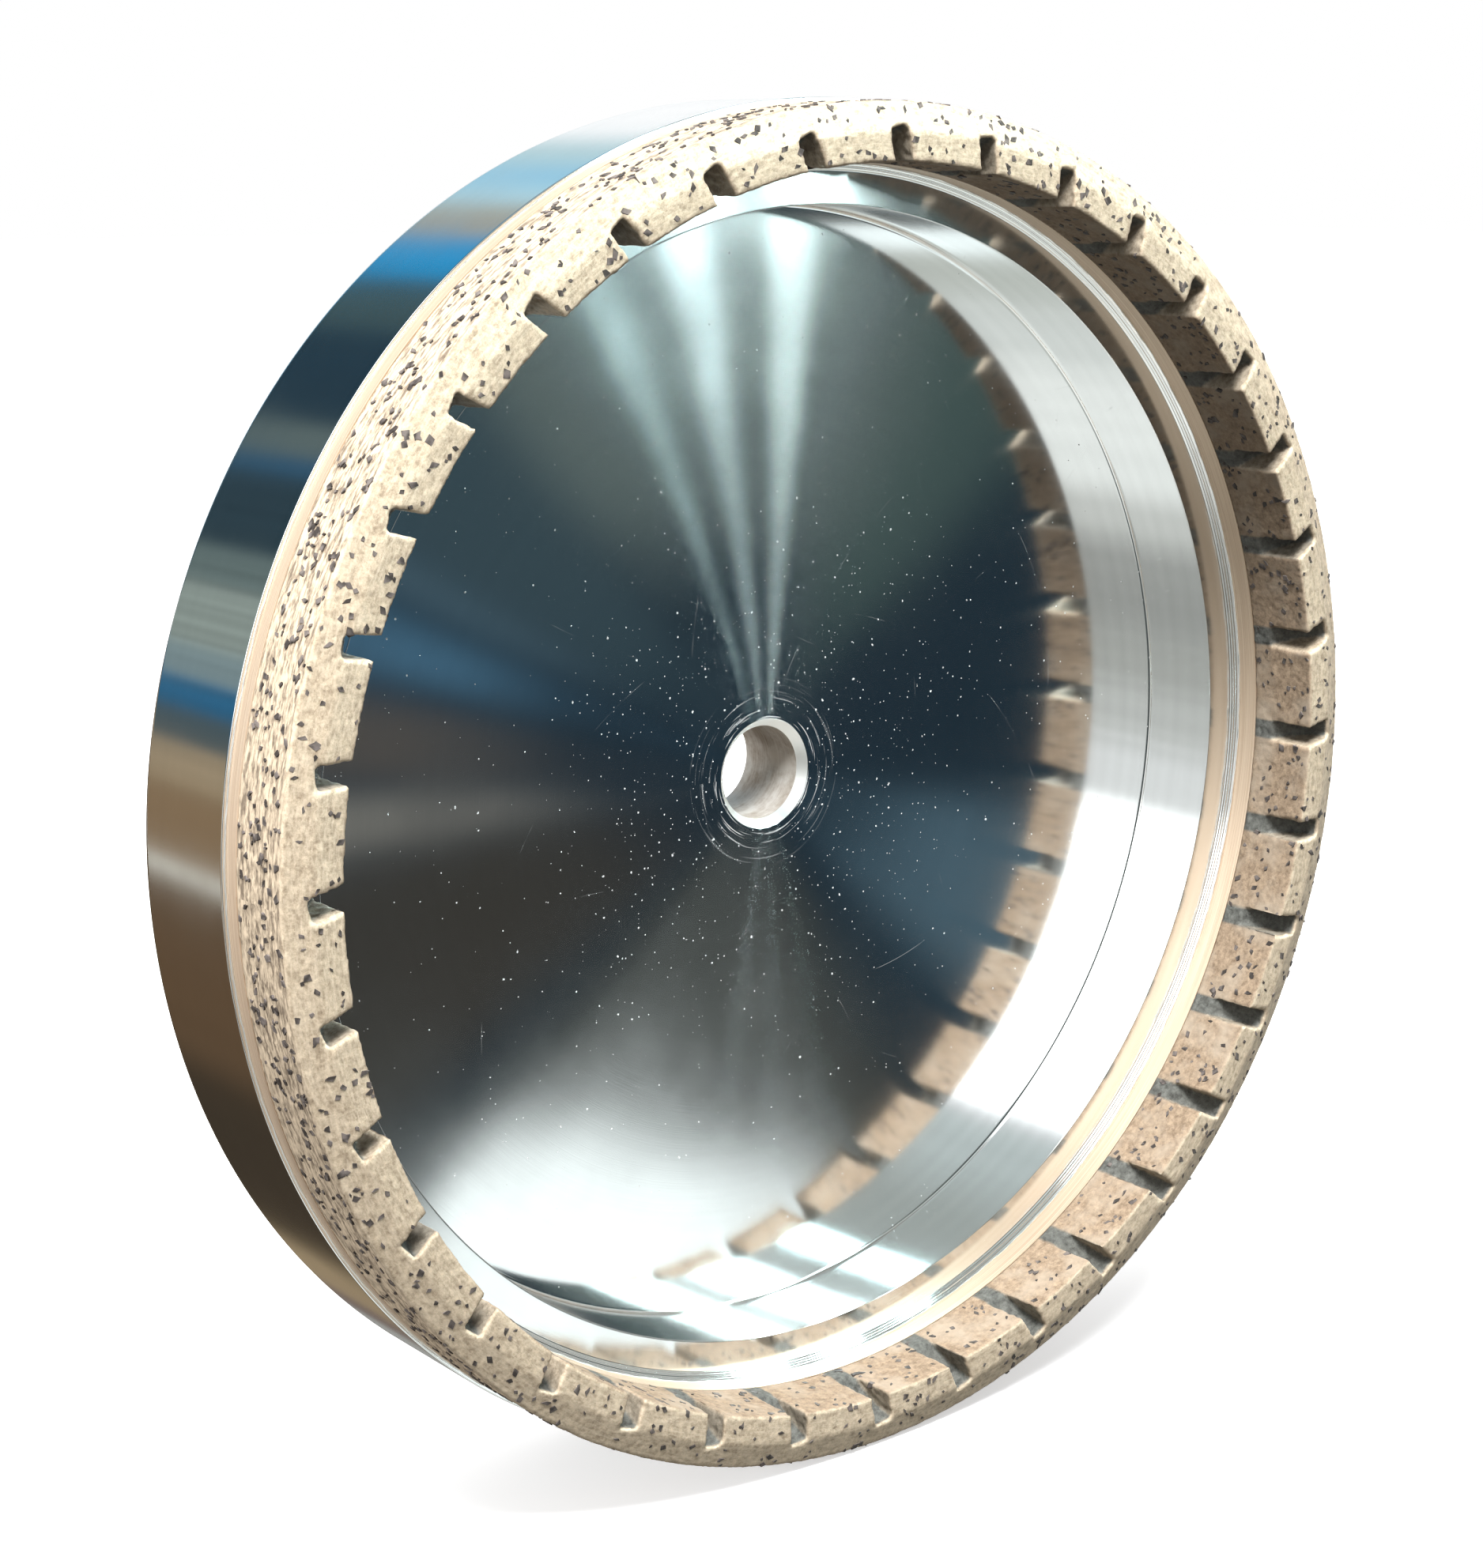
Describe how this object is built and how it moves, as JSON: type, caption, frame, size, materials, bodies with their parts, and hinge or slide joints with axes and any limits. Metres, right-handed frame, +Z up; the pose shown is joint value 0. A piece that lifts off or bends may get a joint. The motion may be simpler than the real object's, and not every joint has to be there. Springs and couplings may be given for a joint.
{
  "type": "diamond grinding wheel",
  "caption": "Cup-shaped diamond grinding wheel with a slotted sintered abrasive ring on a mirror-turned aluminium body with a plain bore.",
  "frame": {"origin": "centre of the bore, halfway along its wall", "axes": "+Y along the spin axis towards the hub's back seat, cup and working face towards -Y, +Z up"},
  "size_m": [0.176, 0.0392, 0.176],
  "materials": {
    "body": "fine-turned mirror",
    "solder": "dull silver",
    "transition": "smooth turned bronze",
    "bond": "dull dressed sintered bronze",
    "grit": "dark crystalline grains"
  },
  "bodies": {
    "root": {"cup_body": "body", "solder_seam": "solder", "transition_ring": "transition", "diamond_ring": "bond", "diamond_grit": "grit"}
  },
  "joints": []
}
